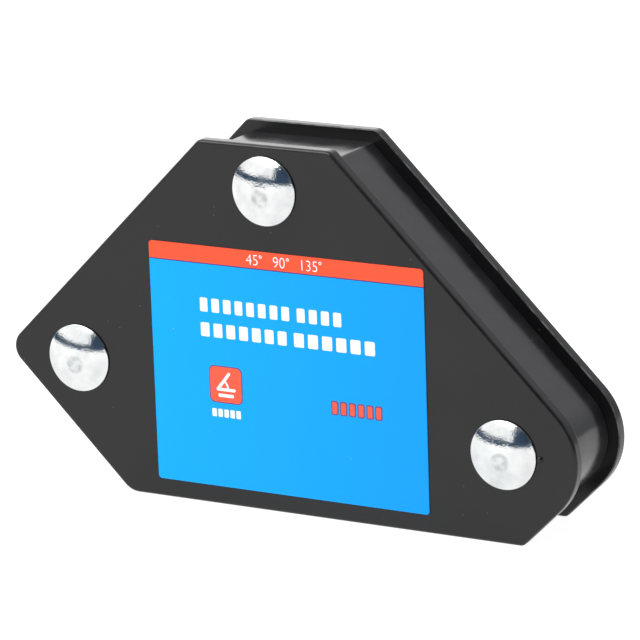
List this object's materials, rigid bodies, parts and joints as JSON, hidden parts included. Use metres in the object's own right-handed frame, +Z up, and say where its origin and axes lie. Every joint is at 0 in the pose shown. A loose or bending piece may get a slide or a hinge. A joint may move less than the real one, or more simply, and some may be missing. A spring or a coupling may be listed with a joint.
{
  "type": "welding magnet holder",
  "caption": "Flat angled magnet holder that grips steel by its edges at 45, 90 and 135 degrees, with riveted black pole plates over a magnet core and a blue and red label.",
  "frame": {"origin": "middle of the overall width and thickness, at the height of the base edge", "axes": "+X along the base edge, to the right as the labelled face is seen; +Y from the labelled face to the rear plate; +Z up from the base edge"},
  "size_m": [0.0844, 0.0178, 0.05],
  "materials": {
    "black_enamel": "satin",
    "core_plastic": "gloss",
    "ferrite": "matte",
    "rivet_aluminium": "polished",
    "sleeve_aluminium": "satin",
    "label_film": "satin"
  },
  "bodies": {
    "root": {"front_plate": "black_enamel", "rear_plate": "black_enamel", "front_label": "label_film", "core_frame": "core_plastic", "magnet_lower": "ferrite", "magnet_middle": "ferrite", "magnet_upper": "ferrite", "sleeve_top": "sleeve_aluminium", "sleeve_left": "sleeve_aluminium", "sleeve_right": "sleeve_aluminium", "rivet_top": "rivet_aluminium", "rivet_left": "rivet_aluminium", "rivet_right": "rivet_aluminium"}
  },
  "joints": []
}
